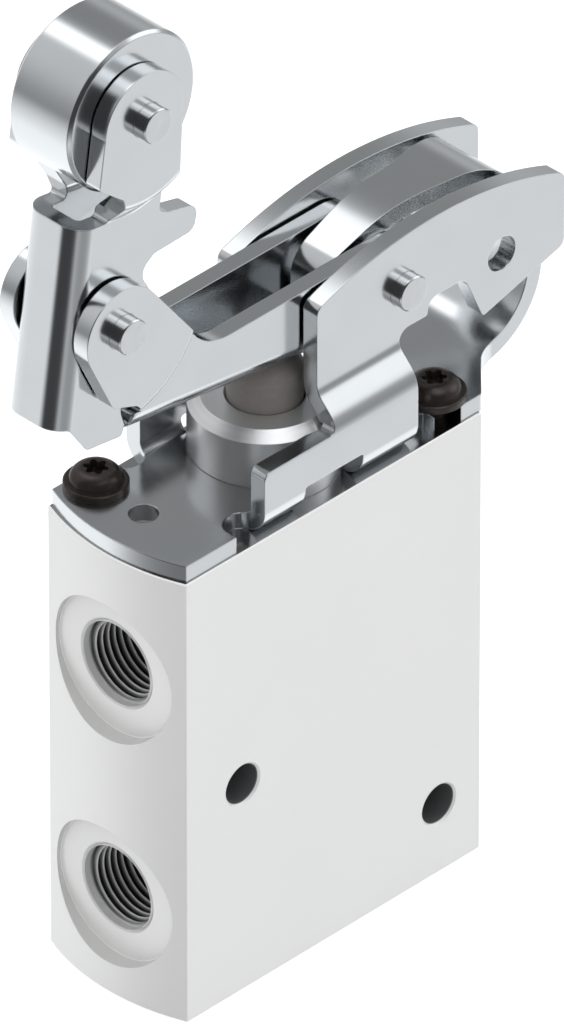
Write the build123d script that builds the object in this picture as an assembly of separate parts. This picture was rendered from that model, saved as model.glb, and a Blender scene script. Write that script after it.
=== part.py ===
from build123d import *
import math
import os

# Roller lever air valve, in millimetres.
# Origin: centre of the flat base. X runs along the body, -X is the side with the two ports,
# Y is the width and +Z is up. Everything is drawn at rest, with the roller up.

# Fits between pieces
running_fit = 0.05
static_fit = 0.05
face_gap = 0.1

# Valve body
body_length = 42.9
body_width = 20.0
body_height = 55.6
body_end_bulge = 1.95
body_edge_chamfer = 0.15

# Threaded ports on the front face, the upper one measured from the top face down
port_low_z = 12.2
port_high_drop = 14.9
port_spotface_d = 16.8
port_spotface_depth = 1.8
port_thread_d = 9.73
port_thread_depth = 9.0
port_lead_in_d = 10.5
port_lead_in_depth = 0.45
port_drill_d = 5.0

# Through holes that mount the body on a wall
mount_hole_d = 4.5
mount_hole_chamfer = 0.3
mount_low_x = 15.5
mount_low_z = 8.7
mount_high_x = -13.3
mount_high_z = 26.2

# Vertical bores of the body: the lower ones from the base up, the guide's from the top down
plug_bore_d = 14.0
plug_bore_depth = 7.0
chamber_d = 10.0
seat_ledge_z = 28.0
sleeve_bore_d = 13.0
guide_bore_d = 14.0
guide_bore_depth = 9.1
boss_bore_depth = 4.0

# Bottom plug
plug_spanner_hole_d = 2.0
plug_spanner_hole_depth = 2.5
plug_spanner_spacing = 8.0
plug_post_d = 6.0
plug_post_height = 6.0
plug_groove_width = 1.5
plug_groove_depth = 1.1
plug_groove_z = 4.6
plug_bore_floor_z = 5.0

# Poppet and its rubber face
poppet_head_d = 8.4
poppet_head_height = 3.2
poppet_rim_drop = 0.3
poppet_stem_d = 3.8
poppet_stem_length = 14.7
poppet_seal_d = 7.2
poppet_seal_thickness = 1.5

# Share of a seal's section that each corner loses when it is squeezed
seal_corner = 0.25

# Seat, sleeve and stem gland
seat_thickness = 3.0
seat_orifice_d = 4.8
seat_lip_d = 6.2
seat_lip_height = 0.8
seat_lip_taper = 0.4
seat_groove_width = 1.2
seat_groove_depth = 1.0
sleeve_wall = 1.4
sleeve_window_d = 4.0
sleeve_window_count = 6
gland_thickness = 2.5
gland_groove_width = 1.1
gland_groove_depth = 1.2

# Exhaust stem
stem_d = 3.2
stem_bore_d = 1.6
stem_lost_motion = 0.3
stem_grip = 3.0

# Guide boss
boss_d = 16.2
boss_top_rise = 6.45
boss_chamfer_width = 1.35
boss_chamfer_height = 0.95
boss_mouth_chamfer = 0.2
guide_cavity_d = 12.0
guide_cavity_height = 4.5
guide_groove_width = 1.6
guide_groove_depth = 1.1
guide_groove_rise = 1.0

# Plunger
plunger_d = 8.1
plunger_crown_r = 5.0
plunger_shoulder_d = 10.8
plunger_shoulder_height = 2.0
plunger_spring_bore_d = 5.8
plunger_spring_bore_depth = 9.6
plunger_vent_d = 1.0
plunger_vent_rise = 1.2

# Springs
plunger_spring_wire = 0.5
plunger_spring_mean_d = 4.6
plunger_spring_turns = 7
poppet_spring_wire = 0.8
poppet_spring_mean_d = 7.8
poppet_spring_turns = 5
carrier_spring_wire = 0.7
carrier_spring_mean_d = 5.6
carrier_spring_turns = 3.5
wire_sides = 6
carrier_spring_width = 3.0
carrier_spring_leg = 9.0

# Bracket: one stamped sheet with a plate, two ears and a rear tongue.
# Here and below, a rise is a height above the plate's upper face.
sheet = 2.0
bracket_bend_r = 3.1
bracket_foot = 0.4
plate_inset = 0.3
plate_locating_hole_d = 3.2
locating_hole_x = -17.6
locating_hole_depth = 4.0
wall_front_x = -10.1
wall_rear_x = 12.2
wall_step_x = 0.3
wall_front_top_rise = 5.95
wall_front_r = 0.9
wall_step_r = 0.9
wall_window_width = 8.4
wall_window_top_rise = 1.5
wall_window_r = 0.4
jog_low_rise = 6.5
jog_high_rise = 9.3
jog_bend_r = 3.0
ear_outer_y = 7.2
relief_width = 3.8
relief_front_r = 1.9
relief_rear_r = 1.5
plate_rear_edge_y = 7.6
plate_corner_x = 21.8
plate_corner_r = 0.6
plate_neck_r = 4.0
plate_far_neck_setback = 2.2
plate_rear_cut_length = 3.1

# Ear outline, places along X and rises
ear_front_top_rise = 20.0
ear_crest_x = 17.7
ear_crest_rise = 23.2
ear_rear_x = 36.4
ear_rear_top_rise = 19.3
ear_rear_low_rise = 10.4
ear_rear_low_r = 1.0
ear_point_x = 24.5
ear_point_rise = 7.2
ear_point_r = 0.5
ear_arch_rise = 13.25
ear_arch_rear_x = 21.8
ear_arch_rear_r = 1.8
ear_arch_front_x = 16.4
ear_arch_front_r = 1.4
ear_notch_rise = 11.35
ear_notch_r = 0.4
ear_top_corner_r = 1.2
ear_free_hole_d = 4.0
ear_free_hole_x = 27.2
ear_free_hole_rise = 13.7

# Rear tongue, along the middle of its sheet
tongue_half_width = 4.2
tongue_neck_half_width = 2.9
tongue_tip_half_width = 2.1
tongue_reach_x = 35.2
tongue_back_rise = 14.5
tongue_top_rise = 21.9
tongue_brow_x = 15.0
tongue_nose_x = 6.8
tongue_nose_rise = 18.8
tongue_low_r = 8.3
tongue_split_rise = 5.0
tongue_back_r = 16.8
tongue_shoulder_r = 7.0
tongue_brow_r = 17.0
tongue_nose_r = 3.0
tongue_neck_x = 20.0
tongue_neck_r = 20.0
tongue_wide_x = 29.0
tongue_wide_r = 8.0

# Bracket screws, M3 flanged button heads
screw_d = 2.9
screw_length = 9.0
screw_flange_d = 6.9
screw_flange_height = 0.8
screw_dome_d = 5.7
screw_head_height = 2.3
screw_rim_chamfer = 0.15
screw_tip_gap = 0.5
screw_socket_d = 2.7
screw_socket_lobe_d = 0.75
screw_socket_depth = 1.1
screw_crown_rim = 0.2
screw_rear_turn = 20
screw_front_x = -17.5
screw_front_inset = 3.0
screw_rear_x = 18.2
screw_rear_inset = 3.6
screw_slot_width = 3.4

# Main lever, a channel with jogged front discs
pivot_x = 13.0
pivot_rise = 16.4
lever_angle = 8.0
lever_half_width = 4.9
lever_bend_r = 2.4
lever_lobe_r = 4.6
lever_lobe_end_angle = -30
lever_web_drop = 5.94
lever_web_front_x = 12.0
lever_web_front_r = 1.5
lever_top_rise = 21.0
lever_brow_r = 6.0
lever_web_rear_x = 10.5
lever_disc_r = 5.1
lever_disc_jog = 1.4
lever_jog_r = 11.25
lever_jog_bend_r = 0.5
lever_front_edge_angle = 37.1
lever_tail_edge_angle = 205.3
lever_disc_low_rise = 21.6
lever_disc_low_r = 0.8
lever_chin_x = -24.7
lever_chin_rise = 20.2
lever_chin_r = 1.5
lever_notch_x = -22.8
lever_nose_x = -23.85
lever_nose_r = 0.3
disc_gap = 0.3

# Roller carrier, a channel folded round the carrier pin, with round jogged fields for the roller
carrier_pin_x = -26.7
carrier_pin_rise = 30.4
carrier_lean = 7.9
carrier_pin_to_roller = 24.7
carrier_half_width = 4.0
carrier_back_x = -5.8
carrier_bend_r = 2.6
carrier_web_low_z = -11.4
carrier_web_top_z = 12.1
carrier_reach = 14.0
carrier_field_r = 9.9
carrier_field_bend_r = 1.0
carrier_ear_r = 5.55
carrier_ear_shift_x = -0.4
carrier_ear_shift_z = 0.1

# Corners of the carrier's side view in its own frame, as (x, z, corner radius), from the tail upwards
carrier_tail = (
    (-3.9, -11.4, 0.8), (-1.0, -14.65, 0.8), (4.0, -14.65, 0.5), (4.3, -13.3, 0.5), (3.6, -11.8, 1.0))
carrier_front = ((3.6, -9.0, 2.0), (5.6, -4.5, 4.0), (5.7, 2.2, 0.6), (4.0, 4.4, 1.6), (6.0, 6.1, 1.0))
carrier_lug = ((11.6, 7.0, 1.2), (11.8, 9.9, 1.3), (7.6, 10.4, 0.8), (6.1, 11.0, 0.5))
carrier_ear_sides = ((6.0, 14.2, 2.0), (5.15, 24.0, 0), (-5.95, 24.0, 0), (-6.0, 18.4, 0.6))
carrier_throat = ((-2.2, 16.1, 1.0), (-1.4, 13.6, 0.4), (-1.5, 12.1, 0.6))

# Roller, its bush and the three pins
roller_d = 18.0
roller_width = 8.7
roller_chamfer = 0.35
roller_side_gap = 0.15
bush_d = 6.4
pin_d = 4.0
pin_chamfer = 0.15
pivot_pin_end_y = 8.6
carrier_pin_end_y = 7.8
roller_pin_end_y = 8.1

# Derived places
body_apex_x = body_length / 2 + body_end_bulge
port_face_x = -body_apex_x + port_spotface_depth
port_high_z = body_height - port_high_drop
guide_bore_z = body_height - guide_bore_depth
boss_floor_z = body_height - boss_bore_depth
boss_bore_d = boss_d + 2 * static_fit
plate_top_z = body_height + sheet
boss_top_z = plate_top_z + boss_top_rise
wall_front_top_z = plate_top_z + wall_front_top_rise
wall_window_top_z = plate_top_z + wall_window_top_rise
jog_low_z = plate_top_z + jog_low_rise
jog_high_z = plate_top_z + jog_high_rise
ear_front_top_z = plate_top_z + ear_front_top_rise
ear_crest_z = plate_top_z + ear_crest_rise
ear_rear_top_z = plate_top_z + ear_rear_top_rise
ear_rear_low_z = plate_top_z + ear_rear_low_rise
ear_point_z = plate_top_z + ear_point_rise
ear_arch_z = plate_top_z + ear_arch_rise
ear_notch_z = plate_top_z + ear_notch_rise
ear_free_hole_z = plate_top_z + ear_free_hole_rise
tongue_back_z = plate_top_z + tongue_back_rise
tongue_top_z = plate_top_z + tongue_top_rise
tongue_nose_z = plate_top_z + tongue_nose_rise
tongue_split_z = plate_top_z + tongue_split_rise
pivot_z = plate_top_z + pivot_rise
lever_top_z = plate_top_z + lever_top_rise
lever_disc_low_z = plate_top_z + lever_disc_low_rise
lever_chin_z = plate_top_z + lever_chin_rise
carrier_pin_z = plate_top_z + carrier_pin_rise
toe_x = wall_front_x - relief_rear_r
plate_far_neck_x = tongue_reach_x - plate_far_neck_setback
screw_front_y = body_width / 2 - screw_front_inset
screw_rear_y = screw_rear_inset - body_width / 2
ear_inner_y = ear_outer_y - sheet
lever_inner_y = lever_half_width - sheet
disc_inner_y = carrier_half_width + disc_gap
carrier_inner_y = carrier_half_width - sheet
carrier_ear_inner_y = roller_width / 2 + roller_side_gap
seat_top_z = seat_ledge_z + seat_thickness
gland_low_z = guide_bore_z - gland_thickness
lip_z = seat_ledge_z - seat_lip_height
poppet_head_low_z = lip_z - poppet_rim_drop - poppet_head_height
shoulder_top_z = guide_bore_z + guide_cavity_height - face_gap
shoulder_low_z = shoulder_top_z - plunger_shoulder_height
spring_bore_top_z = shoulder_low_z + plunger_spring_bore_depth
slope = math.radians(lever_angle)
crown_drop = lever_web_drop + plunger_crown_r + face_gap - pivot_x * math.sin(slope)
crown_centre_z = pivot_z - crown_drop / math.cos(slope)
# a length past every edge, for cuts that run right through
through = 2 * body_height


def outline(*corners):
    """Closed flat shape from corners given as (x, y, corner radius)."""
    points = [(x, y) for x, y, _ in corners]
    radii = [radius for _, _, radius in corners]
    return make_face(FilletPolyline(*points, radius=radii, close=True))


def along_y(shape, half_width):
    """Stand an X-Z outline up and give it a width centred on Y = 0."""
    return extrude(Plane.XZ * shape, half_width, both=True)


def both_sides(solid):
    """A piece on the -Y side and its mirror image."""
    return solid + mirror(solid, Plane.XZ)


def turned(*corners):
    """Solid of revolution about Z from (radius, z) corners."""
    section = make_face(Polyline(*corners, close=True))
    return revolve(Plane.XZ * section, Axis.Z)


def cylinder_z(diameter, low, high, x=0.0, y=0.0):
    return Pos(x, y, low) * extrude(Circle(diameter / 2), high - low)


def cylinder_y(diameter, half_width, x, z):
    return Pos(x, 0, z) * Rot(90, 0, 0) * Cylinder(diameter / 2, 2 * half_width)


def block(x0, x1, y0, y1, z0, z1):
    """Box between two corners."""
    centre = Pos((x0 + x1) / 2, (y0 + y1) / 2, (z0 + z1) / 2)
    return centre * Box(x1 - x0, y1 - y0, z1 - z0)


def seal_ring(inner_r, outer_r, low, high):
    """Rubber ring as it lies squeezed in its groove."""
    cut = seal_corner * min(outer_r - inner_r, high - low)
    return turned(
        (inner_r + cut, low), (outer_r - cut, low), (outer_r, low + cut), (outer_r, high - cut),
        (outer_r - cut, high), (inner_r + cut, high), (inner_r, high - cut), (inner_r, low + cut))


def pin(half_length):
    """Round pin along Y with both ends chamfered."""
    body = Rot(90, 0, 0) * Cylinder(pin_d / 2, 2 * half_length)
    return chamfer(body.edges(), pin_chamfer)


def wire_section(wire, path):
    """Section of a spring's wire at the start of its path, many-sided with the round wire's area."""
    turn = 2 * math.pi / wire_sides
    corner_r = wire / 2 * math.sqrt(turn / math.sin(turn))
    return Plane(origin=path @ 0, z_dir=path % 0) * RegularPolygon(corner_r, wire_sides)


def coil_spring(mean_d, wire, low, high, turns):
    """Compression spring with ends ground flat."""
    pitch = (high - low) / turns
    path = Helix(pitch, high - low + wire, mean_d / 2, center=(0, 0, low - wire / 2))
    wound = sweep(wire_section(wire, path), path, is_frenet=True)
    return wound & cylinder_z(mean_d + 3 * wire, low, high)


def plan_shape(length, width, bulge):
    """Body plan: straight sides and two bowed ends."""
    half = length / 2
    side = width / 2
    edges = [
        Line((-half, -side), (half, -side)),
        ThreePointArc((half, -side), (half + bulge, 0), (half, side)),
        Line((half, side), (-half, side)),
        ThreePointArc((-half, side), (-half - bulge, 0), (-half, -side)),
    ]
    return make_face(edges)


def port_cut(z):
    """Spot face, lead-in, thread bore and drilled passage of one port."""
    front = -body_apex_x - 1
    thread_end = port_face_x + port_thread_depth
    spotface = port_spotface_d / 2
    thread = port_thread_d / 2
    drill = port_drill_d / 2
    section = make_face(Polyline(
        (front, 0), (front, spotface), (port_face_x, spotface), (port_face_x, port_lead_in_d / 2),
        (port_face_x + port_lead_in_depth, thread), (thread_end, thread),
        (thread_end + thread - drill, drill), (0, drill), (0, 0), close=True))
    return Pos(0, 0, z) * revolve(Plane.XZ * section, Axis.X)


def valve_body():
    body = extrude(plan_shape(body_length, body_width, body_end_bulge), body_height)
    rims = body.faces().sort_by(Axis.Z)[0].edges() + body.faces().sort_by(Axis.Z)[-1].edges()
    body = chamfer(rims, body_edge_chamfer)
    for z in (port_low_z, port_high_z):
        body -= port_cut(z)
    body -= cylinder_z(plug_bore_d, 0, plug_bore_depth)
    body -= cylinder_z(chamber_d, 0, seat_ledge_z)
    body -= cylinder_z(sleeve_bore_d, seat_ledge_z, body_height)
    body -= cylinder_z(guide_bore_d, guide_bore_z, body_height)
    body -= cylinder_z(boss_bore_d, boss_floor_z, body_height)
    for x, z in ((mount_low_x, mount_low_z), (mount_high_x, mount_high_z)):
        body -= cylinder_y(mount_hole_d, body_width, x, z)
        for side in (-1, 1):
            hole_r = mount_hole_d / 2
            countersink = Cone(hole_r, hole_r + 2 * mount_hole_chamfer, 2 * mount_hole_chamfer)
            body -= Pos(x, side * body_width / 2, z) * Rot(-90 * side, 0, 0) * countersink
    for x, y in ((screw_front_x, screw_front_y), (screw_rear_x, screw_rear_y)):
        body -= cylinder_z(screw_d + 2 * static_fit, body_height - screw_length, body_height, x, y)
    body -= cylinder_z(plate_locating_hole_d, body_height - locating_hole_depth, body_height, locating_hole_x)
    return body


def bottom_plug():
    outer = plug_bore_d / 2 - static_fit
    post = plug_post_d / 2
    groove = outer - plug_groove_depth
    groove_top = plug_groove_z + plug_groove_width
    top = plug_bore_depth + plug_post_height
    body = turned(
        (0, 0), (outer, 0), (outer, plug_groove_z), (groove, plug_groove_z), (groove, groove_top),
        (outer, groove_top), (outer, plug_bore_depth), (post, plug_bore_depth), (post, top), (0, top))
    for x in (-plug_spanner_spacing / 2, plug_spanner_spacing / 2):
        body -= cylinder_z(plug_spanner_hole_d, 0, plug_spanner_hole_depth, x)
    return body - cylinder_z(poppet_stem_d + 2 * running_fit, plug_bore_floor_z, top)


def bottom_plug_seal():
    inner = plug_bore_d / 2 - static_fit - plug_groove_depth
    return seal_ring(inner, plug_bore_d / 2, plug_groove_z, plug_groove_z + plug_groove_width)


def poppet():
    head_top = lip_z - poppet_rim_drop
    head = poppet_head_d / 2
    stem = poppet_stem_d / 2
    recess = poppet_seal_d / 2
    floor = lip_z - poppet_seal_thickness
    return turned(
        (0, floor), (recess, floor), (recess, head_top), (head, head_top), (head, poppet_head_low_z),
        (stem, poppet_head_low_z), (stem, poppet_head_low_z - poppet_stem_length),
        (0, poppet_head_low_z - poppet_stem_length))


def poppet_seal():
    return cylinder_z(poppet_seal_d, lip_z - poppet_seal_thickness, lip_z)


def valve_seat():
    outer = sleeve_bore_d / 2 - static_fit
    orifice = seat_orifice_d / 2
    lip = seat_lip_d / 2
    groove_low = seat_ledge_z + (seat_thickness - seat_groove_width) / 2
    groove_r = outer - seat_groove_depth
    return turned(
        (orifice, lip_z), (lip - seat_lip_taper, lip_z), (lip, seat_ledge_z), (outer, seat_ledge_z),
        (outer, groove_low), (groove_r, groove_low), (groove_r, groove_low + seat_groove_width),
        (outer, groove_low + seat_groove_width), (outer, seat_top_z), (orifice, seat_top_z))


def valve_seat_seal():
    groove_low = seat_ledge_z + (seat_thickness - seat_groove_width) / 2
    inner = sleeve_bore_d / 2 - static_fit - seat_groove_depth
    return seal_ring(inner, sleeve_bore_d / 2, groove_low, groove_low + seat_groove_width)


def spacer_sleeve():
    outer_d = sleeve_bore_d - 2 * static_fit
    sleeve = cylinder_z(outer_d, seat_top_z, gland_low_z)
    sleeve -= cylinder_z(outer_d - 2 * sleeve_wall, seat_top_z, gland_low_z)
    for step in range(sleeve_window_count // 2):
        turn = 360 / sleeve_window_count * step
        window = Rot(0, 90, 0) * Cylinder(sleeve_window_d / 2, sleeve_bore_d + 2)
        sleeve -= Pos(0, 0, port_high_z) * Rot(0, 0, turn) * window
    return sleeve


def stem_gland():
    outer = sleeve_bore_d / 2 - static_fit
    hole = stem_d / 2 + running_fit
    groove = stem_d / 2 + gland_groove_depth
    groove_low = gland_low_z + (gland_thickness - gland_groove_width) / 2
    return turned(
        (hole, gland_low_z), (outer, gland_low_z), (outer, guide_bore_z), (hole, guide_bore_z),
        (hole, groove_low + gland_groove_width), (groove, groove_low + gland_groove_width),
        (groove, groove_low), (hole, groove_low))


def stem_seal():
    low = gland_low_z + (gland_thickness - gland_groove_width) / 2
    inner = stem_d / 2 + running_fit / 2
    return seal_ring(inner, stem_d / 2 + gland_groove_depth, low, low + gland_groove_width)


def exhaust_stem():
    tip = lip_z + stem_lost_motion
    stem = cylinder_z(stem_d, tip, spring_bore_top_z + stem_grip)
    return stem - cylinder_z(stem_bore_d, tip, spring_bore_top_z + stem_grip)


def plunger_guide():
    thread = guide_bore_d / 2 - static_fit
    boss = boss_d / 2
    bore = plunger_d / 2 + running_fit
    cavity = guide_cavity_d / 2
    cavity_top = guide_bore_z + guide_cavity_height
    groove_low = boss_floor_z + guide_groove_rise
    groove_r = boss - guide_groove_depth
    return turned(
        (cavity, guide_bore_z), (thread, guide_bore_z), (thread, boss_floor_z), (boss, boss_floor_z),
        (boss, groove_low), (groove_r, groove_low), (groove_r, groove_low + guide_groove_width),
        (boss, groove_low + guide_groove_width), (boss, boss_top_z - boss_chamfer_height),
        (boss - boss_chamfer_width, boss_top_z), (bore + boss_mouth_chamfer, boss_top_z),
        (bore, boss_top_z - boss_mouth_chamfer), (bore, cavity_top), (cavity, cavity_top))


def guide_seal():
    low = boss_floor_z + guide_groove_rise
    inner = boss_d / 2 - guide_groove_depth
    return seal_ring(inner, boss_d / 2 + static_fit, low, low + guide_groove_width)


def plunger():
    side = plunger_d / 2
    shoulder = plunger_shoulder_d / 2
    spring_bore = plunger_spring_bore_d / 2
    stem = stem_d / 2
    vent_bore = stem_bore_d / 2
    stem_top_z = spring_bore_top_z + stem_grip
    vent_top_z = stem_top_z + plunger_vent_rise
    crown_z = crown_centre_z + math.sqrt(plunger_crown_r ** 2 - side ** 2)
    half_rise = math.asin(side / plunger_crown_r) / 2
    crown_middle = (
        plunger_crown_r * math.sin(half_rise), crown_centre_z + plunger_crown_r * math.cos(half_rise))
    apex = (0, crown_centre_z + plunger_crown_r)
    section = make_face([
        ThreePointArc((side, crown_z), crown_middle, apex),
        Polyline(apex, (0, vent_top_z), (vent_bore, vent_top_z), (vent_bore, stem_top_z), (stem, stem_top_z),
                 (stem, spring_bore_top_z), (spring_bore, spring_bore_top_z), (spring_bore, shoulder_low_z),
                 (shoulder, shoulder_low_z), (shoulder, shoulder_top_z), (side, shoulder_top_z),
                 (side, crown_z)),
    ])
    vent_z = stem_top_z + plunger_vent_rise / 2
    vent = Pos(0, 0, vent_z) * Rot(0, 90, 0) * Cylinder(plunger_vent_d / 2, plunger_d + 2)
    return revolve(Plane.XZ * section, Axis.Z) - vent


def plunger_spring():
    return coil_spring(plunger_spring_mean_d, plunger_spring_wire, guide_bore_z, spring_bore_top_z,
                       plunger_spring_turns)


def poppet_spring():
    return coil_spring(poppet_spring_mean_d, poppet_spring_wire, plug_bore_depth, poppet_head_low_z,
                       poppet_spring_turns)


def bend_relief(edge):
    """Round-cornered notch in front of a wall, on the side that edge names. Its rear corner
    ends at the wall's inner face."""
    front_x = wall_front_x - relief_width
    inner_y = edge * (body_width / 2 - sheet - relief_rear_r)
    return outline(
        (front_x, edge * body_width, 0), (front_x, inner_y, relief_front_r),
        (wall_front_x, inner_y, relief_rear_r), (wall_front_x, edge * body_width, 0))


def bracket_plan():
    """Flat plate on top of the body, with its reliefs, holes and open screw slot.
    It narrows into the tongue over a longer way on the +Y side than on the -Y side."""
    side = body_width / 2 - plate_inset
    half = tongue_half_width
    near_neck_x = plate_corner_x + side - half
    end_x = tongue_reach_x + sheet
    plan = plan_shape(body_length - 2 * plate_inset, 2 * side, body_end_bulge)
    plan -= Pos(plate_corner_x, 0) * Rectangle(body_width, body_width, align=(Align.MIN, Align.CENTER))
    plan += outline(
        (wall_rear_x, -side, 0), (plate_corner_x, -side, plate_corner_r), (near_neck_x, -half, plate_neck_r),
        (end_x, -half, 0), (end_x, half, 0), (plate_far_neck_x, half, plate_neck_r),
        (plate_corner_x, side, plate_corner_r), (wall_rear_x, side, 0))
    rear_cut = 2 * (side - plate_rear_edge_y)
    for edge in (-1, 1):
        plan -= bend_relief(edge)
        plan -= Pos(wall_rear_x, edge * side) * Rectangle(2 * plate_rear_cut_length, rear_cut)
    plan -= Circle(boss_bore_d / 2)
    plan -= Pos(locating_hole_x, 0) * Circle(plate_locating_hole_d / 2)
    plan -= Pos(screw_front_x, screw_front_y) * Circle(screw_slot_width / 2)
    # the rear slot lets the bracket swing off round the front screw
    reach_x = screw_rear_x - screw_front_x
    reach_y = screw_rear_y - screw_front_y
    turn = math.degrees(math.atan2(reach_y, reach_x)) - 90
    slot = Circle(screw_slot_width / 2) + Pos(side / 2, 0) * Rectangle(side, screw_slot_width)
    return plan - Pos(screw_rear_x, screw_rear_y) * Rot(0, 0, turn) * slot


def ear_sheet():
    """Wall that bends up from the plate, jogs inward and carries the ear, on the -Y side."""
    outer = body_width / 2
    middle_y = outer - sheet / 2
    ear_y = ear_outer_y - sheet / 2
    plate_mid = body_height + sheet / 2
    inner_start = outer - bracket_bend_r - bracket_foot
    path = FilletPolyline(
        (-inner_start, plate_mid), (-middle_y, plate_mid), (-middle_y, jog_low_z), (-ear_y, jog_high_z),
        (-ear_y, ear_crest_z + sheet), radius=[bracket_bend_r - sheet / 2, jog_bend_r, jog_bend_r])
    section = trace(path, sheet)
    wall = Pos(toe_x, 0, 0) * extrude(Plane.YZ * section, wall_rear_x - toe_x)
    rear = block(
        wall_rear_x, ear_rear_x + sheet, -ear_outer_y, -ear_inner_y, ear_point_z - sheet, ear_crest_z + sheet)
    relief = Pos(0, 0, body_height) * extrude(bend_relief(-1), bracket_bend_r + sheet)
    return (wall + rear) - relief


def ear_outline():
    """Side view of wall and ear, with the toe of the bend, the open arch and the pointed rear hook."""
    toe_top_z = body_height + bracket_bend_r
    crest = make_face([
        ThreePointArc(
            (wall_step_x, ear_front_top_z), (ear_crest_x, ear_crest_z), (ear_rear_x, ear_rear_top_z)),
        Line((ear_rear_x, ear_rear_top_z), (wall_step_x, ear_front_top_z)),
    ])
    side = outline(
        (toe_x, body_height, 0), (toe_x, toe_top_z, 0), (wall_front_x, toe_top_z, 0),
        (wall_front_x, wall_front_top_z, wall_front_r),
        (wall_step_x, wall_front_top_z, wall_step_r), (wall_step_x, ear_front_top_z, 0),
        (ear_rear_x, ear_rear_top_z, 0), (ear_rear_x, ear_rear_low_z, ear_rear_low_r),
        (ear_point_x, ear_point_z, ear_point_r), (ear_arch_rear_x, ear_arch_z, ear_arch_rear_r),
        (ear_arch_front_x, ear_arch_z, ear_arch_front_r), (ear_arch_front_x, ear_notch_z, ear_notch_r),
        (wall_rear_x, ear_notch_z, ear_arch_front_r), (wall_rear_x, body_height, 0))
    whole = side + crest
    front_top = whole.vertices().sort_by_distance((wall_step_x, ear_front_top_z, 0))[0]
    rear_top = whole.vertices().sort_by_distance((ear_rear_x, ear_rear_top_z, 0))[0]
    return fillet([front_top, rear_top], ear_top_corner_r)


def tongue():
    """Rear strip that rises behind the ears and comes down into the lever as its upper stop."""
    plate_mid = body_height + sheet / 2
    shoulder_x = tongue_reach_x - (tongue_top_z - tongue_back_z)
    path = FilletPolyline(
        (plate_corner_x, plate_mid), (tongue_reach_x, plate_mid), (tongue_reach_x, tongue_back_z),
        (shoulder_x, tongue_top_z), (tongue_brow_x, tongue_top_z), (tongue_nose_x, tongue_nose_z),
        (tongue_nose_x, pivot_z - lever_web_drop),
        radius=[tongue_low_r, tongue_back_r, tongue_shoulder_r, tongue_brow_r, tongue_nose_r])
    strip = along_y(trace(path, sheet), body_width / 2)
    wide = tongue_half_width
    neck = tongue_neck_half_width
    tip = tongue_tip_half_width
    end_x = tongue_reach_x + sheet
    upper_plan = outline(
        (tongue_nose_x - sheet, -tip, 0), (tongue_neck_x, -neck, tongue_neck_r),
        (tongue_wide_x, -wide, tongue_wide_r), (end_x, -wide, 0), (end_x, wide, 0),
        (tongue_wide_x, wide, tongue_wide_r), (tongue_neck_x, neck, tongue_neck_r),
        (tongue_nose_x - sheet, tip, 0))
    upper = strip & (Pos(0, 0, tongue_split_z) * extrude(upper_plan, ear_crest_z))
    lower = strip & (Pos(0, 0, body_height) * extrude(bracket_plan(), tongue_split_z - body_height))
    stop = Pos(pivot_x, 0, pivot_z) * Rot(0, lever_angle, 0)
    stop_height = face_gap + sheet - lever_web_drop
    below_stop = stop * block(-body_length, 0, -body_width, body_width, -body_width, stop_height)
    return (upper - below_stop) + lower


def mounting_bracket():
    plan = bracket_plan()
    plan -= Pos(plate_corner_x, 0) * Rectangle(body_width, body_width, align=(Align.MIN, Align.CENTER))
    plate = Pos(0, 0, body_height) * extrude(plan, sheet)
    ear_zone = block(toe_x, wall_rear_x, -body_width, body_width, body_height, plate_top_z)
    flat_half = body_width / 2 - bracket_bend_r
    keep = block(toe_x, wall_rear_x, -flat_half, flat_half, body_height, plate_top_z)
    ears = both_sides(ear_sheet() & along_y(ear_outline(), body_width))
    bracket = plate - (ear_zone - keep) + ears + tongue()
    bracket -= cylinder_z(boss_bore_d, body_height, boss_top_z)
    window = outline(
        (-wall_window_width / 2, boss_floor_z, 0), (-wall_window_width / 2, wall_window_top_z, wall_window_r),
        (wall_window_width / 2, wall_window_top_z, wall_window_r), (wall_window_width / 2, boss_floor_z, 0))
    bracket -= along_y(window, body_width)
    bracket -= cylinder_y(pin_d, body_width, pivot_x, pivot_z)
    return bracket - cylinder_y(ear_free_hole_d, body_width, ear_free_hole_x, ear_free_hole_z)


def bracket_screw():
    """Flanged button head with a six-lobe socket, its seat at Z = 0."""
    flange = screw_flange_d / 2
    dome = screw_dome_d / 2
    shank = screw_d / 2
    crown = screw_socket_d / 2 + screw_crown_rim
    tip = screw_tip_gap - screw_length
    dome_rise = screw_head_height - screw_flange_height
    dome_middle = ((crown + dome) / 2 + dome_rise / 5, screw_flange_height + dome_rise * 0.64)
    rim = screw_rim_chamfer
    edges = [
        Polyline((0, screw_head_height), (crown, screw_head_height)),
        ThreePointArc((crown, screw_head_height), dome_middle, (dome, screw_flange_height)),
        Polyline((dome, screw_flange_height), (flange - rim, screw_flange_height),
                 (flange, screw_flange_height - rim), (flange, 0), (shank, 0), (shank, tip), (0, tip),
                 (0, screw_head_height)),
    ]
    screw = revolve(Plane.XZ * make_face(edges), Axis.Z)
    lobe_reach = (screw_socket_d - screw_socket_lobe_d) / 2
    socket = Circle(lobe_reach)
    for lobe in range(6):
        socket += Rot(0, 0, 60 * lobe) * Pos(lobe_reach, 0) * Circle(screw_socket_lobe_d / 2)
    return screw - Pos(0, 0, screw_head_height - screw_socket_depth) * extrude(socket, screw_head_height)


def bracket_screws():
    front = Pos(screw_front_x, screw_front_y, plate_top_z) * bracket_screw()
    rear = Pos(screw_rear_x, screw_rear_y, plate_top_z) * Rot(0, 0, screw_rear_turn) * bracket_screw()
    return Compound(children=[front, rear])


def direction(angle):
    return math.cos(math.radians(angle)), math.sin(math.radians(angle))


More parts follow.
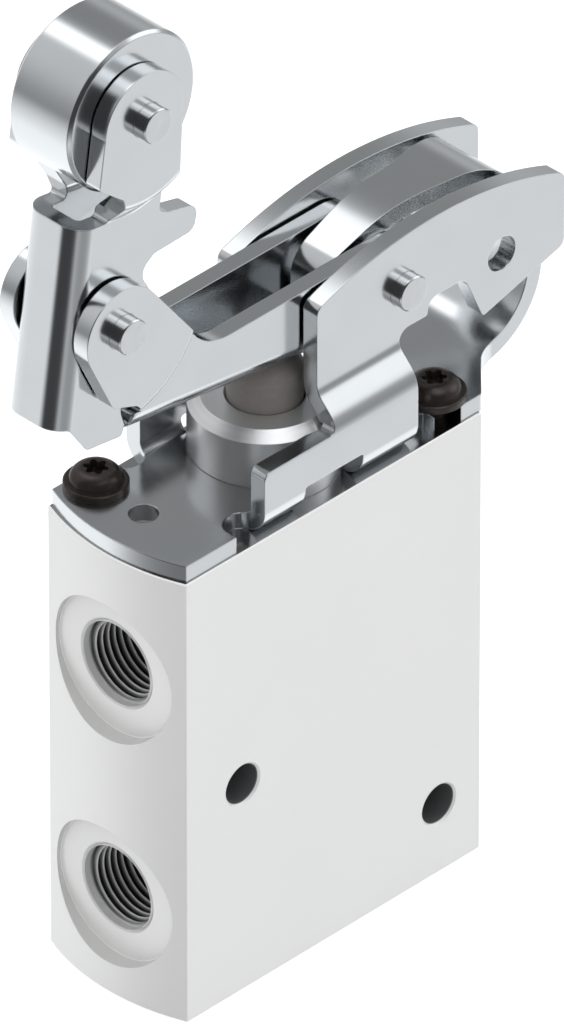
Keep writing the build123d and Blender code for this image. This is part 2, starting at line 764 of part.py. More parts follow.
def web_line_z(x, height):
    """Height of a line that runs along the lever's web, a given distance above its underside."""
    return pivot_z - (lever_web_drop - height) / math.cos(slope) - (x - pivot_x) * math.tan(slope)


def lever_outline():
    """Side view of the lever: round rear lobe, straight channel, front disc and the web's nose."""
    front_x, front_z = direction(lever_front_edge_angle)
    tail_x, tail_z = direction(lever_tail_edge_angle)
    brow_x = carrier_pin_x + (lever_disc_r - (lever_top_z - carrier_pin_z) * front_z) / front_x
    shin_x = carrier_pin_x + (lever_disc_r - (lever_disc_low_z - carrier_pin_z) * tail_z) / tail_x
    lobe_x, lobe_z = direction(lever_lobe_end_angle)
    nose_x = lever_nose_x - lever_nose_r
    shape = outline(
        (pivot_x, lever_top_z, 0), (brow_x, lever_top_z, lever_brow_r),
        (carrier_pin_x + lever_disc_r * front_x, carrier_pin_z + lever_disc_r * front_z, 0),
        (carrier_pin_x + lever_disc_r * tail_x, carrier_pin_z + lever_disc_r * tail_z, 0),
        (shin_x, lever_disc_low_z, lever_disc_low_r), (lever_chin_x, lever_chin_z, lever_chin_r),
        (lever_notch_x, web_line_z(lever_notch_x, lever_bend_r), 0),
        (lever_nose_x, web_line_z(lever_nose_x, lever_bend_r), lever_nose_r),
        (nose_x, web_line_z(nose_x, 0), 0),
        (lever_web_front_x, web_line_z(lever_web_front_x, 0), lever_web_front_r),
        (pivot_x + lever_lobe_r * lobe_x, pivot_z + lever_lobe_r * lobe_z, 0), (pivot_x, pivot_z, 0))
    shape += Pos(pivot_x, pivot_z) * Circle(lever_lobe_r)
    return shape + Pos(carrier_pin_x, carrier_pin_z) * Circle(lever_disc_r)


def lever_channel():
    """Folded channel along the sloping web."""
    half = lever_half_width
    low = -lever_web_drop
    high = body_width
    section = outline(
        (-half, high, 0), (-half, low, lever_bend_r), (half, low, lever_bend_r), (half, high, 0),
        (half - sheet, high, 0), (half - sheet, low + sheet, lever_bend_r - sheet),
        (-half + sheet, low + sheet, lever_bend_r - sheet), (-half + sheet, high, 0))
    channel = Pos(-body_length, 0, 0) * extrude(Plane.YZ * section, body_length + 2 * lever_lobe_r)
    return Pos(pivot_x, 0, pivot_z) * Rot(0, lever_angle, 0) * channel


def jogged_field(field_r, bend_r, field_y, rest_y, reach):
    """Sheets on both sides with a round field about the Y axis that stands out from the rest.
    field_y and rest_y are the inner faces of the field and of the sheet round it."""
    jog = field_y - rest_y
    bend = sheet * math.tan(math.radians(22.5))
    section = outline(
        (0, field_y + sheet, 0), (field_r, field_y + sheet, bend_r), (field_r + jog, rest_y + sheet, bend_r),
        (reach, rest_y + sheet, 0), (reach, rest_y, 0), (field_r + jog - bend, rest_y, bend_r),
        (field_r - bend, field_y, bend_r), (0, field_y, 0))
    return both_sides(revolve(section, Axis.Y))


def main_lever():
    side = along_y(lever_outline(), body_width)
    field_r = lever_jog_r + lever_disc_jog + lever_jog_bend_r
    field = cylinder_y(2 * field_r, body_width, carrier_pin_x, carrier_pin_z)
    front = Pos(carrier_pin_x, 0, carrier_pin_z) * jogged_field(
        lever_jog_r, lever_jog_bend_r, disc_inner_y, lever_inner_y, field_r + sheet)
    web_cut = block(
        lever_web_rear_x, pivot_x + body_width, -lever_inner_y, lever_inner_y, body_height, ear_crest_z)
    lever = ((lever_channel() & side) - field - web_cut) + (front & side & field)
    lever -= cylinder_y(pin_d + 2 * running_fit, body_width, pivot_x, pivot_z)
    return lever - cylinder_y(pin_d, body_width, carrier_pin_x, carrier_pin_z)


def carrier_place():
    """Frame of the leaning carrier: its origin is the carrier pin, its Z runs to the roller."""
    return Pos(carrier_pin_x, 0, carrier_pin_z) * Rot(0, carrier_lean, 0)


def carrier_outline():
    """Side view of the carrier in its own frame."""
    ear = Pos(carrier_ear_shift_x, carrier_pin_to_roller + carrier_ear_shift_z) * Circle(carrier_ear_r)
    side = outline(
        (carrier_back_x, carrier_web_low_z, 0), *carrier_tail, *carrier_front, *carrier_lug,
        *carrier_ear_sides, *carrier_throat, (carrier_back_x, carrier_web_top_z, 0))
    return side + ear


def roller_carrier():
    half = carrier_half_width
    inner_r = carrier_bend_r - sheet
    back = carrier_back_x
    channel = outline(
        (carrier_reach, -half, 0), (back, -half, carrier_bend_r), (back, half, carrier_bend_r),
        (carrier_reach, half, 0), (carrier_reach, half - sheet, 0), (back + sheet, half - sheet, inner_r),
        (back + sheet, -half + sheet, inner_r), (carrier_reach, -half + sheet, 0))
    low = carrier_web_low_z - body_width
    lower = Pos(0, 0, low) * extrude(channel, carrier_web_top_z - low)
    fields = Pos(0, 0, carrier_pin_to_roller) * jogged_field(
        carrier_field_r, carrier_field_bend_r, carrier_ear_inner_y, carrier_inner_y, carrier_pin_to_roller)
    upper = fields & block(-through, through, -body_width, body_width, carrier_web_top_z, through)
    carrier = (lower + upper) & along_y(carrier_outline(), body_width)
    carrier -= cylinder_y(pin_d + 2 * running_fit, body_width, 0, 0)
    carrier -= cylinder_y(pin_d, body_width, 0, carrier_pin_to_roller)
    return carrier_place() * carrier


def carrier_spring():
    """Torsion spring round the carrier pin, one leg up the web, the other down into the lever."""
    wire = carrier_spring_wire
    radius = carrier_spring_mean_d / 2
    half = carrier_spring_width / 2
    pitch = carrier_spring_width / carrier_spring_turns
    path = Helix(pitch, carrier_spring_width, radius, center=(0, 0, -half))
    coil = Rot(90, 0, 0) * sweep(wire_section(wire, path), path, is_frenet=True)
    low_leg = cylinder_z(wire, -carrier_spring_leg, 0, radius, half)
    high_leg = cylinder_z(wire, 0, carrier_spring_leg, -radius, -half)
    return carrier_place() * (coil + low_leg + high_leg)


def roller():
    ring = Rot(90, 0, 0) * Cylinder(roller_d / 2, roller_width)
    ring = chamfer(ring.edges(), roller_chamfer)
    ring -= Rot(90, 0, 0) * Cylinder(bush_d / 2, roller_width + 2)
    return carrier_place() * Pos(0, 0, carrier_pin_to_roller) * ring


def roller_bush():
    bush = Cylinder(bush_d / 2, roller_width) - Cylinder(pin_d / 2 + running_fit, roller_width + 2)
    return carrier_place() * Pos(0, 0, carrier_pin_to_roller) * Rot(90, 0, 0) * bush


def roller_pin():
    return carrier_place() * Pos(0, 0, carrier_pin_to_roller) * pin(roller_pin_end_y)


nodes = {
    "valve_body": valve_body,
    "bottom_plug": bottom_plug,
    "bottom_plug_seal": bottom_plug_seal,
    "poppet": poppet,
    "poppet_seal": poppet_seal,
    "poppet_spring": poppet_spring,
    "valve_seat": valve_seat,
    "valve_seat_seal": valve_seat_seal,
    "spacer_sleeve": spacer_sleeve,
    "stem_gland": stem_gland,
    "stem_seal": stem_seal,
    "exhaust_stem": exhaust_stem,
    "plunger_guide": plunger_guide,
    "guide_seal": guide_seal,
    "plunger": plunger,
    "plunger_spring": plunger_spring,
    "mounting_bracket": mounting_bracket,
    "bracket_screws": bracket_screws,
    "lever_pivot_pin": lambda: Pos(pivot_x, 0, pivot_z) * pin(pivot_pin_end_y),
    "main_lever": main_lever,
    "carrier_pin": lambda: Pos(carrier_pin_x, 0, carrier_pin_z) * pin(carrier_pin_end_y),
    "roller_carrier": roller_carrier,
    "carrier_spring": carrier_spring,
    "roller": roller,
    "roller_bush": roller_bush,
    "roller_pin": roller_pin,
}

os.makedirs("parts", exist_ok=True)
for name, make in nodes.items():
    export_step(make(), f"parts/{name}.step")
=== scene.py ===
import math
import bpy
import numpy as np
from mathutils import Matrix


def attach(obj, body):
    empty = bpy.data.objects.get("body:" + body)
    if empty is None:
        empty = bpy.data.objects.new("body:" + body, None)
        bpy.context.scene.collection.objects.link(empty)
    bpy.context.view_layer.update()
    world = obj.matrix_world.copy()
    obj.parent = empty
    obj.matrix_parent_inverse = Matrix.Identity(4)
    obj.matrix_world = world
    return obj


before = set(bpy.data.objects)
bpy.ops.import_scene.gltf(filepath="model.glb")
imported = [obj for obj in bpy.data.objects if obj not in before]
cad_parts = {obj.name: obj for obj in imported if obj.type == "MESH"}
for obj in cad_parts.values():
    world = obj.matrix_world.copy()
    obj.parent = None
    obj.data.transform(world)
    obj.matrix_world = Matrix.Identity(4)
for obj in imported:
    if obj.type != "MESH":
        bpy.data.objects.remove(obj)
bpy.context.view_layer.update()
scene = bpy.context.scene


# Valve body.
# The real block is sawn from extruded aluminium, milled, then bead blasted and clear anodised, so it
# looks pale grey and matt with a very fine grain. The top, where the bracket sits, is left as milled.
def linear(hex_colour):
    """sRGB hex to linear RGBA: each channel goes through the sRGB curve backwards."""
    channels = np.array([int(hex_colour[i:i + 2], 16) for i in (1, 3, 5)]) / 255
    curved = np.where(channels <= 0.04045, channels / 12.92, ((channels + 0.055) / 1.055) ** 2.4)
    return (*curved.tolist(), 1.0)


def add(tree, kind, inputs=None, **properties):
    """Adds one node: properties are set on it, and each input gets its value or its link."""
    node = tree.nodes.new("ShaderNode" + kind)
    for name, value in properties.items():
        setattr(node, name, value)
    for name, value in (inputs or {}).items():
        if isinstance(value, bpy.types.NodeSocket):
            tree.links.new(value, node.inputs[name])
        else:
            node.inputs[name].default_value = value
    return node


def start_material(name, **values):
    """New material with its main shader's own sockets set; returns material, tree and shader."""
    material = bpy.data.materials.new(name)
    material.use_nodes = True
    shader = material.node_tree.nodes["Principled BSDF"]
    for socket, value in values.items():
        shader.inputs[socket.replace("_", " ").title().replace("Ior", "IOR")].default_value = value
    return material, material.node_tree, shader


def per_mm(size):
    """Scale of a pattern whose features are this many millimetres across."""
    return 1000 / size


def speckle(tree, place, size, detail):
    """Noise, about 0.5 on average, with features of this size in millimetres."""
    return add(tree, "TexNoise", {"Vector": place, "Scale": per_mm(size), "Detail": detail}).outputs[0]


def between(tree, share, first, second):
    """Value between two limits, by a share."""
    return add(tree, "MapRange", {0: share, "To Min": first, "To Max": second}).outputs[0]


def connect(tree, shader, **results):
    """Links results to the shader's sockets of the same names."""
    for socket, result in results.items():
        tree.links.new(result, shader.inputs[socket.replace("_", " ").title()])


def dress(material, *names):
    """Gives CAD nodes their finish."""
    for name in names:
        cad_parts[name].material_slots[0].material = material


def near_edge(tree, bevel):
    """1 where a rounded edge turns the surface by 26 degrees from its own flat face, 0 below 6 degrees."""
    face = add(tree, "NewGeometry").outputs["Normal"]
    turn = add(tree, "VectorMath", {0: face, 1: bevel}, operation="DOT_PRODUCT").outputs["Value"]
    return add(tree, "MapRange", {0: turn, "From Min": flat_cosine, "From Max": full_highlight_cosine}).outputs[0]


def tone_mix(tree, share, first, second):
    """Colour between two, by a share; each colour is a hex value or a link."""
    colours = [linear(c) if isinstance(c, str) else c for c in (first, second)]
    mix = add(tree, "Mix", data_type="RGBA")
    for socket, value in zip((mix.inputs[0], mix.inputs["A"], mix.inputs["B"]), (share, *colours)):
        if isinstance(value, bpy.types.NodeSocket):
            tree.links.new(value, socket)
        else:
            socket.default_value = value
    return mix.outputs["Result"]


# edge turning limits for the mask that paints a white highlight along the body's edges
flat_cosine = 0.995
full_highlight_cosine = 0.90
body_height = 0.0556
broken_edge = 0.00015
port_heights = (0.0122, 0.0407)
spot_face_r = 0.0084
foot_width = 0.00012
hair = 0.00003  # how far a mask reaches to either side of a face
hole_r = 0.00232
fine_edge_r = 0.00012  # edges that are only broken
hole_places = ((0.0155, 0.0087), (-0.0133, 0.0262))

blasted, tree, shader = start_material("bead_blasted_anodised_aluminium")
place = add(tree, "TexCoord").outputs["Object"]
edge = add(tree, "Bevel", {"Radius": fine_edge_r}, samples=6).outputs[0]
grain = speckle(tree, place, 0.22, 3.0)
cloud = speckle(tree, place, 14.0, 2.0)
axes = add(tree, "SeparateXYZ", {0: place})
# 1 on the milled top face and 0 below its broken edge
milled = add(tree, "MapRange", {0: axes.outputs["Z"], "From Min": body_height - hair,
                                "From Max": body_height - hair / 3}).outputs[0]
# 1 on the broken edge round the top, which gets a painted white highlight
painted_highlight_lines = add(tree, "MapRange", {0: axes.outputs["Z"], "From Min": body_height - 1.1 * broken_edge,
                                "From Max": body_height - 0.9 * broken_edge}).outputs[0]
# distance from the nearer port's axis: painted shade on the spot face's wall, a painted highlight at its
# foot
sideways = add(tree, "CombineXYZ", {"Y": axes.outputs["Y"], "Z": axes.outputs["Z"]}).outputs[0]
gaps = [add(tree, "VectorMath", {0: sideways, 1: (0, 0, height)}, operation="DISTANCE").outputs["Value"]
        for height in port_heights]
gap = add(tree, "Math", {0: gaps[0], 1: gaps[1]}, operation="MINIMUM").outputs[0]
wall = add(tree, "Math", {0: gap, 1: spot_face_r, 2: hair}, operation="COMPARE").outputs[0]
foot_r = spot_face_r - hair - foot_width / 2
foot = add(tree, "Math", {0: gap, 1: foot_r, 2: foot_width / 2}, operation="COMPARE").outputs[0]
painted_highlight_lines = add(tree, "Math", {0: painted_highlight_lines, 1: foot}, operation="MAXIMUM").outputs[0]
# 1 in the two holes through the body, which are painted dark grey as shade
upright = add(tree, "CombineXYZ", {"X": axes.outputs["X"], "Z": axes.outputs["Z"]}).outputs[0]
painted_hole_shade = 0.0
for x, z in hole_places:
    gap = add(tree, "VectorMath", {0: upright, 1: (x, 0, z)}, operation="DISTANCE").outputs["Value"]
    inside_hole = add(tree, "Math", {0: gap, 1: hole_r}, operation="LESS_THAN").outputs[0]
    painted_hole_shade = add(tree, "Math", {0: inside_hole, 1: painted_hole_shade}, operation="MAXIMUM").outputs[0]
# painted highlight: broken edges, the band round the top and the spot face's foot are painted white
painted_edge_highlight = add(tree, "Math", {0: near_edge(tree, edge), 1: painted_highlight_lines}, operation="MAXIMUM").outputs[0]
tone = tone_mix(tree, cloud, "#efefee", "#f3f3f2")
tone = tone_mix(tree, painted_edge_highlight, tone, "#ffffff")
tone = tone_mix(tree, milled, tone, "#b9bbbd")
# painted shade: the spot face's wall is painted a darker grey
tone = tone_mix(tree, wall, tone, "#dededd")
# painted shade: the two holes through the body are painted dark grey
tone = tone_mix(tree, painted_hole_shade, tone, "#77787a")
rough = between(tree, grain, 0.42, 0.54)
rough = add(tree, "Mix", {0: milled, "A": rough, "B": 0.17}, data_type="FLOAT").outputs[0]
rough = add(tree, "Mix", {0: wall, "A": rough, "B": 0.35}, data_type="FLOAT").outputs[0]
bare = between(tree, painted_edge_highlight, 0.35, 0.0)
cut = add(tree, "Math", {0: wall, 1: painted_hole_shade}, operation="MAXIMUM").outputs[0]
bare = add(tree, "Mix", {0: cut, "A": bare, "B": 0.5}, data_type="FLOAT").outputs[0]
bare = add(tree, "Mix", {0: milled, "A": bare, "B": 1.0}, data_type="FLOAT").outputs[0]
pitted = add(tree, "Bump", {"Height": grain, "Strength": 0.30, "Distance": 0.000015, "Normal": edge})
connect(tree, shader, base_color=tone, metallic=bare, roughness=rough, normal=pitted.outputs[0])
dress(blasted, "valve_body")


# Port threads.
# Both ports have a tapped pipe thread, cut after the blasting, so the metal is bare. Its crests carry a
# painted highlight and its roots painted shade. The thread is a 55 degree V with rounded crests, 28 turns
# to the inch.
port_x = -0.0216
thread_pitch = 0.000907
thread_outer_r = 0.00488
thread_depth = 0.00058
thread_length = 0.0086
mouth_length = 0.0008
first_turn = 0.0004
last_turn = 0.0006
mouth_blend = 0.0003
crest_power = 1.6  # above 1 it narrows the crests
points_round = 120
points_along = 170


def mesh_from_grid(name, grid, wrap_rows, wrap_columns):
    """Mesh from an array of points (rows, columns, 3); a wrapped direction joins its end to its start."""
    rows, columns = grid.shape[:2]
    i = np.arange(rows if wrap_rows else rows - 1)
    j = np.arange(columns if wrap_columns else columns - 1)
    i, j = np.meshgrid(i, j, indexing="ij")
    up, across = (i + 1) % rows, (j + 1) % columns
    quads = np.stack([i * columns + j, up * columns + j, up * columns + across, i * columns + across], -1)
    mesh = bpy.data.meshes.new(name)
    mesh.from_pydata(grid.reshape(-1, 3), [], quads.reshape(-1, 4))
    mesh.polygons.foreach_set("use_smooth", np.ones(len(mesh.polygons), bool))
    piece = bpy.data.objects.new(name, mesh)
    scene.collection.objects.link(piece)
    return piece


def port_thread(name, height):
    """Threaded liner of one port: at depth d and angle a the inner radius is the outer radius less the
    thread's depth times a rounded saw wave of (d / pitch - a / one turn), faded out at both ends.
    The section runs down the thread and back along a smooth outer wall, so the liner is closed."""
    angle = np.linspace(0, 2 * np.pi, points_round, endpoint=False)
    depth = np.linspace(0, thread_length, points_along)
    a, d = np.meshgrid(angle, depth)
    phase = d / thread_pitch - a / (2 * np.pi)
    saw = 1 - np.abs(2 * (phase - np.floor(phase)) - 1)
    crest = np.clip(1.25 * saw - 0.1, 0, 1) ** crest_power
    fade_in = np.clip((d - mouth_length) / first_turn, 0, 1)
    fade = fade_in * np.clip((thread_length - d) / last_turn, 0, 1)
    inner = thread_outer_r - hair - thread_depth * crest * fade
    radius = np.concatenate([inner, np.full((2, len(angle)), thread_outer_r)])
    along = np.concatenate([d, np.full((1, len(angle)), thread_length), np.zeros((1, len(angle)))])
    turn = np.concatenate([a, a[:2]])
    grid = np.stack([port_x + along, radius * np.cos(turn), height + radius * np.sin(turn)], -1)
    liner = mesh_from_grid(name, grid, True, True)
    # painted highlight and shade: 1 on the crests and the smooth mouth, falling towards 0 in the roots
    shine = np.maximum((crest * fade) ** 2, 1 - np.clip((d - mouth_length) / mouth_blend, 0, 1))
    painted_thread_shading = liner.data.attributes.new("painted_thread_shading", "FLOAT", "POINT")
    painted_thread_shading.data.foreach_set("value", np.concatenate([shine, np.ones((2, len(angle)))]).ravel())
    return liner


tapped, tree, shader = start_material("tapped_aluminium")
place = add(tree, "TexCoord").outputs["Object"]
swarf = speckle(tree, place, 0.3, 2.0)
painted_thread_shading = add(tree, "Attribute", attribute_name="painted_thread_shading").outputs["Fac"]
# painted shade in the thread roots and a painted highlight on the crests
tone = tone_mix(tree, painted_thread_shading, "#38393a", tone_mix(tree, swarf, "#ececec", "#f4f4f4"))
rough = between(tree, swarf, 0.30, 0.38)
bare = between(tree, painted_thread_shading, 0.9, 0.35)
connect(tree, shader, base_color=tone, metallic=bare, roughness=rough)
for name, height in zip(("port_thread_low", "port_thread_high"), port_heights):
    thread = port_thread(name, height)
    thread.data.materials.append(tapped)
    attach(thread, "base")


# Bottom plug.
# A turned brass screw plug, nickel plated, that closes the base under the poppet spring.
# It is driven by a pin spanner in its two holes and shows fine turning rings.
plated, tree, shader = start_material("nickel_plated_brass", metallic=1.0)
place = add(tree, "TexCoord").outputs["Object"]
# the wave node multiplies its scale by 20
rings = add(tree, "TexWave", {"Vector": place, "Scale": per_mm(0.25) / 20, "Distortion": 0.2},
            wave_type="RINGS", rings_direction="Z")
tone = tone_mix(tree, rings.outputs[0], "#c2bda9", "#d3cfbf")
rough = between(tree, rings.outputs[0], 0.20, 0.30)
connect(tree, shader, base_color=tone, roughness=rough)
dress(plated, "bottom_plug")


# Poppet, seat, sleeve and gland.
# Small turned brass pieces stacked in the body's bore. They are left bare, so they keep the yellow
# of the metal, a little darker where the cutting oil has tarnished it.
brass, tree, shader = start_material("turned_brass", metallic=1.0)
place = add(tree, "TexCoord").outputs["Object"]
tarnish = speckle(tree, place, 2.5, 3.0)
tone = tone_mix(tree, tarnish, "#b98f4a", "#dcb968")
rough = between(tree, tarnish, 0.22, 0.38)
connect(tree, shader, base_color=tone, roughness=rough)
dress(brass, "poppet", "valve_seat", "spacer_sleeve", "stem_gland")


# Seals.
# Moulded nitrile rings and the poppet's rubber face. Rubber is nearly black with a soft, broad sheen
# and a faint moulded grain.
rubber, tree, shader = start_material("nitrile_rubber", ior=1.52)
place = add(tree, "TexCoord").outputs["Object"]
bloom = speckle(tree, place, 0.6, 2.0)
tone = tone_mix(tree, bloom, "#1b1b1c", "#29292a")
rough = between(tree, bloom, 0.55, 0.72)
connect(tree, shader, base_color=tone, roughness=rough)
dress(rubber, "bottom_plug_seal", "poppet_seal", "valve_seat_seal", "stem_seal", "guide_seal")


# Springs.
# Cold drawn spring wire with a dull grey skin, which the drawing leaves slightly uneven in tone.
wire, tree, shader = start_material("drawn_spring_wire", metallic=1.0)
place = add(tree, "TexCoord").outputs["Object"]
streak = speckle(tree, place, 0.4, 3.0)
tone = tone_mix(tree, streak, "#85878a", "#a5a8ab")
rough = between(tree, streak, 0.28, 0.42)
connect(tree, shader, base_color=tone, roughness=rough)
dress(wire, "poppet_spring", "plunger_spring", "carrier_spring")


# Plunger guide.
# The round boss is turned from bar steel and screwed into the body. Fine turning rings run round its
# side and across its top face, and they blur what it mirrors into a satin shine.
turned, tree, shader = start_material("turned_steel", metallic=0.85)
place = add(tree, "TexCoord").outputs["Object"]
edge = add(tree, "Bevel", {"Radius": fine_edge_r}, samples=6).outputs[0]
axes = add(tree, "SeparateXYZ", {0: place})
flat = add(tree, "CombineXYZ", {"X": axes.outputs["X"], "Y": axes.outputs["Y"]})
reach = add(tree, "VectorMath", {0: flat.outputs[0]}, operation="LENGTH")
feed = add(tree, "Math", {0: reach.outputs["Value"], 1: axes.outputs["Z"]}, operation="ADD")
# the cutter's feed was about 0.12 mm a turn
groove = add(tree, "TexNoise", {"W": feed.outputs[0], "Scale": per_mm(0.12), "Detail": 1.0},
             noise_dimensions="1D").outputs[0]
tone = tone_mix(tree, groove, "#dcdddd", "#e8e8e8")
rough = between(tree, groove, 0.30, 0.38)
cut = add(tree, "Bump", {"Height": groove, "Strength": 0.05, "Distance": 0.000005, "Normal": edge})
connect(tree, shader, base_color=tone, roughness=rough, normal=cut.outputs[0])
dress(turned, "plunger_guide")


# Plunger.
# Turned from dark grey acetal, hard and slippery, with a domed crown. It has a low, broad sheen that
# varies a little from place to place.
acetal, tree, shader = start_material("turned_acetal", ior=1.48)
place = add(tree, "TexCoord").outputs["Object"]
skin = speckle(tree, place, 0.5, 3.0)
tone = tone_mix(tree, skin, "#736f6d", "#7f7b78")
rough = between(tree, skin, 0.38, 0.50)
connect(tree, shader, base_color=tone, roughness=rough)
dress(acetal, "plunger")


# Mounting bracket.
# Stamped from 2 mm cold rolled sheet, folded, and bright zinc plated. The plating is smooth and cool
# grey, mirrors its surroundings with a slight blur, and its sheared edges are rounded by tumbling.
sheet_edge_r = 0.00018  # edges that tumbling has rounded

zinc, tree, shader = start_material("bright_zinc_plated_sheet", metallic=1.0)
place = add(tree, "TexCoord").outputs["Object"]
edge = add(tree, "Bevel", {"Radius": sheet_edge_r}, samples=6).outputs[0]
stretch = add(tree, "Mapping", {"Vector": place, "Scale": (0.15, 1.0, 1.0)}).outputs[0]
roll = speckle(tree, stretch, 0.5, 2.0)
cloud = speckle(tree, place, 6.0, 2.0)
tone = tone_mix(tree, cloud, "#ced1d3", "#d6d8da")
rough = between(tree, roll, 0.165, 0.195)
connect(tree, shader, base_color=tone, roughness=rough, normal=edge)
dress(zinc, "mounting_bracket")


# Bracket screws.
# Two flanged button-head screws, black oxide over steel. The skin is brown-black with a soft gloss,
# and the rims of head and flange are rounded, so they catch a line of light.
oxide, tree, shader = start_material("black_oxide_steel", metallic=0.55)
place = add(tree, "TexCoord").outputs["Object"]
edge = add(tree, "Bevel", {"Radius": fine_edge_r}, samples=6)
skin = speckle(tree, place, 0.7, 3.0)
tone = tone_mix(tree, skin, "#332d2b", "#453d3a")
rough = between(tree, skin, 0.24, 0.36)
connect(tree, shader, base_color=tone, roughness=rough, normal=edge.outputs[0])
dress(oxide, "bracket_screws")


# Pins.
# Ground steel pins, pressed into their ears, with small chamfers. Grinding runs round them, so the
# polish is fine and bright.
ground, tree, shader = start_material("ground_steel", metallic=1.0)
place = add(tree, "TexCoord").outputs["Object"]
edge = add(tree, "Bevel", {"Radius": fine_edge_r}, samples=6)
around = add(tree, "Mapping", {"Vector": place, "Scale": (0.1, 1.0, 0.1)})
lines = add(tree, "TexNoise", {"Vector": around.outputs[0], "Scale": per_mm(0.15), "Detail": 2.0})
tone = tone_mix(tree, lines.outputs[0], "#cacccd", "#d6d7d9")
rough = between(tree, lines.outputs[0], 0.12, 0.18)
connect(tree, shader, base_color=tone, roughness=rough, normal=edge.outputs[0])
dress(ground, "lever_pivot_pin", "carrier_pin", "roller_pin", "exhaust_stem")


# Lever, roller carrier and roller.
# The lever and the carrier are folded from 2 mm strip and the roller is turned and hardened. All are
# polished and plated, so they mirror each other softly and show black where two of them meet.
polished, tree, shader = start_material("polished_plated_steel", metallic=1.0)
place = add(tree, "TexCoord").outputs["Object"]
edge = add(tree, "Bevel", {"Radius": sheet_edge_r}, samples=6).outputs[0]
haze = speckle(tree, place, 1.2, 2.0)
cloud = speckle(tree, place, 6.0, 2.0)
tone = tone_mix(tree, cloud, "#cfd2d4", "#d6d8da")
rough = between(tree, haze, 0.150, 0.175)
connect(tree, shader, base_color=tone, roughness=rough, normal=edge)
dress(polished, "main_lever", "roller_carrier", "roller")


# Roller bush.
# A sintered bronze bush pressed into the roller, brown-gold and open grained, dark with oil.
bronze, tree, shader = start_material("sintered_bronze", metallic=0.9)
place = add(tree, "TexCoord").outputs["Object"]
pores = speckle(tree, place, 0.15, 3.0)
tone = tone_mix(tree, pores, "#7c5c3a", "#a98254")
rough = between(tree, pores, 0.34, 0.52)
connect(tree, shader, base_color=tone, roughness=rough)
dress(bronze, "roller_bush")


# Floor.
# A plain white studio table. It is white to the camera and keeps the valve's soft shadow, and bright
# metal looks through it to the studio's light below the horizon.
def floor_sheet(half, points):
    """Flat square: a grid of two straight parameters from -half to half at height zero."""
    x, y = np.meshgrid(np.linspace(-half, half, points), np.linspace(-half, half, points), indexing="ij")
    return mesh_from_grid("studio_floor", np.stack([x, y, np.zeros_like(x)], -1), False, False)


table, tree, shader = start_material("white_studio_table", roughness=0.9)
ray = add(tree, "LightPath")
shader.inputs["Base Color"].default_value = linear("#e6e6e6")
shader.inputs["Specular IOR Level"].default_value = 0.0
glow = add(tree, "Emission", {"Color": linear("#ffffff"), "Strength": 0.55})
lit = add(tree, "AddShader", {0: shader.outputs[0], 1: glow.outputs[0]})
plain = add(tree, "MixShader", {0: ray.outputs["Is Camera Ray"], 1: shader.outputs[0], 2: lit.outputs[0]})
clear = add(tree, "BsdfTransparent")
either = add(tree, "Math", {0: ray.outputs["Is Glossy Ray"], 1: ray.outputs["Is Transmission Ray"]},
             operation="MAXIMUM")
whole = add(tree, "MixShader", {0: either.outputs[0], 1: plain.outputs[0], 2: clear.outputs[0]})
tree.links.new(whole.outputs[0], tree.nodes["Material Output"].inputs["Surface"])
floor = floor_sheet(half=2.0, points=9)
floor.data.materials.append(table)


# Studio light.
# A white room with a pale floor, one long overhead strip light, a soft key panel at the front right,
# a small lamp over the camera and dark cards at the front left. They give polished steel its bands of
# light and dark.
world = bpy.data.worlds.new("studio_light")
scene.world = world
world.use_nodes = True
tree = world.node_tree
tree.nodes.clear()
sky = add(tree, "TexCoord").outputs["Generated"]
axes = add(tree, "SeparateXYZ", {0: sky})
east, up = axes.outputs["X"], axes.outputs["Z"]


def sum_of(kind, first, second):
    """Result of one sum or product of two values on the sphere."""
    return add(tree, "Math", {0: first, 1: second}, operation=kind).outputs[0]


def eased(value, low, high):
    """Smooth step of a value between two limits, from 0 to 1."""
    return add(tree, "MapRange", {0: value, "From Min": low, "From Max": high},
               interpolation_type="SMOOTHSTEP").outputs[0]


def towards(azimuth, elevation):
    """Cosine of the angle to a direction, given in degrees from +X and above the horizon."""
    a, e = math.radians(azimuth), math.radians(elevation)
    aim = (math.cos(e) * math.cos(a), math.cos(e) * math.sin(a), math.sin(e))
    return add(tree, "VectorMath", {0: sky, 1: aim}, operation="DOT_PRODUCT").outputs["Value"]


def round_card(azimuth, elevation, even, end):
    """Share of a round card: 1 within one angle of its middle, fading to 0 at another, in degrees."""
    return eased(towards(azimuth, elevation), math.cos(math.radians(end)), math.cos(math.radians(even)))


def hang(light, share, card_light):
    """The light with a card in front of it."""
    return add(tree, "Mix", {0: share, "A": light, "B": card_light}, data_type="FLOAT").outputs[0]


ramp_node = add(tree, "ValToRGB", {0: sum_of("ADD", sum_of("MULTIPLY", up, 0.5), 0.5)})
# height on the sphere, from -1 straight down to 1 straight up, and the light there
stops = ((-1.0, 0.93), (-0.60, 0.91), (-0.42, 0.70), (-0.25, 0.50), (-0.09, 0.28),
         (0.04, 0.33), (0.30, 0.41), (0.60, 0.48), (1.0, 0.48))
room_light = 1.5
ramp = ramp_node.color_ramp
while len(ramp.elements) < len(stops):
    ramp.elements.new(0.5)
for element, (height, value) in zip(ramp.elements, stops):
    element.position = (height + 1) / 2
    element.color = (value, value, value, 1)
light = sum_of("MULTIPLY", ramp_node.outputs[0], room_light)

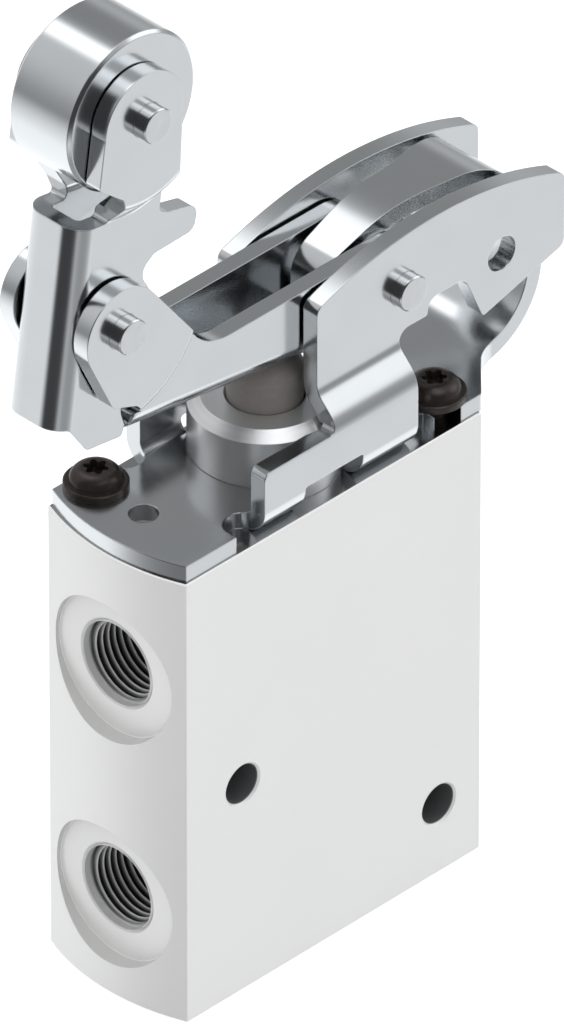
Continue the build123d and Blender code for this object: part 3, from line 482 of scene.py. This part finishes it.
# azimuth, elevation, even within, ends at, light
cards = (
    (45, 38, 8, 30, 0.31),     # dim wall at the far right
    (262, 5, 25, 60, 0.34),    # dim front
    (245, 15, 20, 42, 0.06),   # dark card in front
    (230, -70, 14, 45, 0.42),  # the camera's own shade on the floor
    (172, -40, 2, 30, 0.34),   # shaded floor at the left
    (312, -34, 5, 13, 0.94),   # pale floor at the right
    (330, 24, 13, 24, 1.7),    # soft key panel
    (225, 56, 8, 22, 1.7),     # small lamp over the camera
)
for azimuth, elevation, even, end, card_light in cards:
    light = hang(light, round_card(azimuth, elevation, even, end), card_light)
# the black card at the left is round but for its straight upright edge
straight_edge = eased(towards(235, 0), -0.05, 0.10)
light = hang(light, sum_of("MULTIPLY", round_card(190, 14, 42, 57), straight_edge), 0.065)
# the overhead strip lies over both sides of the middle, and starts at about 45 degrees
across = sum_of("SUBTRACT", sum_of("ABSOLUTE", east, 0.0), sum_of("MULTIPLY", up, 0.20))
light = hang(light, sum_of("MULTIPLY", eased(across, 0.08, -0.08), eased(up, 0.66, 0.78)), 1.9)

studio = add(tree, "Background", {"Color": linear("#fcfeff"), "Strength": light})
# matt surfaces see an even white tent round the set, and the camera sees it as plain white
tent = add(tree, "Background", {"Color": linear("#ffffff"), "Strength": 0.95})
white = add(tree, "Background", {"Color": linear("#ffffff"), "Strength": 1.0})
ray = add(tree, "LightPath")
soft = add(tree, "MixShader", {0: ray.outputs["Is Diffuse Ray"], 1: studio.outputs[0], 2: tent.outputs[0]})
seen = add(tree, "MixShader", {0: ray.outputs["Is Camera Ray"], 1: soft.outputs[0], 2: white.outputs[0]})
add(tree, "OutputWorld", {"Surface": seen.outputs[0]})


# Camera.
# The photograph is a parallel view along the cube diagonal. The camera looks nearly the same way through
# a long lens from 2.7 m. Its aim and height are fitted so that no point of the valve is seen more than
# 0.6 mm from where the parallel view has it.
camera_distance = 2.7
camera_azimuth = math.radians(44.80)
camera_elevation = math.radians(35.60)
picture_height = 0.10522
sensor_width = 36.0
target = np.array([0.001330, -0.001110, 0.048737])
level = math.cos(camera_elevation)
aim = np.array([
    level * math.cos(camera_azimuth), level * math.sin(camera_azimuth), -math.sin(camera_elevation)])
camera_data = bpy.data.cameras.new("camera")
camera_data.sensor_width = sensor_width
camera_data.lens = sensor_width * camera_distance / picture_height
camera_data.clip_start = 0.1
camera_data.clip_end = 20.0
camera = bpy.data.objects.new("camera", camera_data)
camera.location = target - camera_distance * aim
camera.rotation_euler = (math.pi / 2 - camera_elevation, 0.0, camera_azimuth - math.pi / 2)
scene.collection.objects.link(camera)
scene.camera = camera
scene.view_settings.view_transform = "Standard"
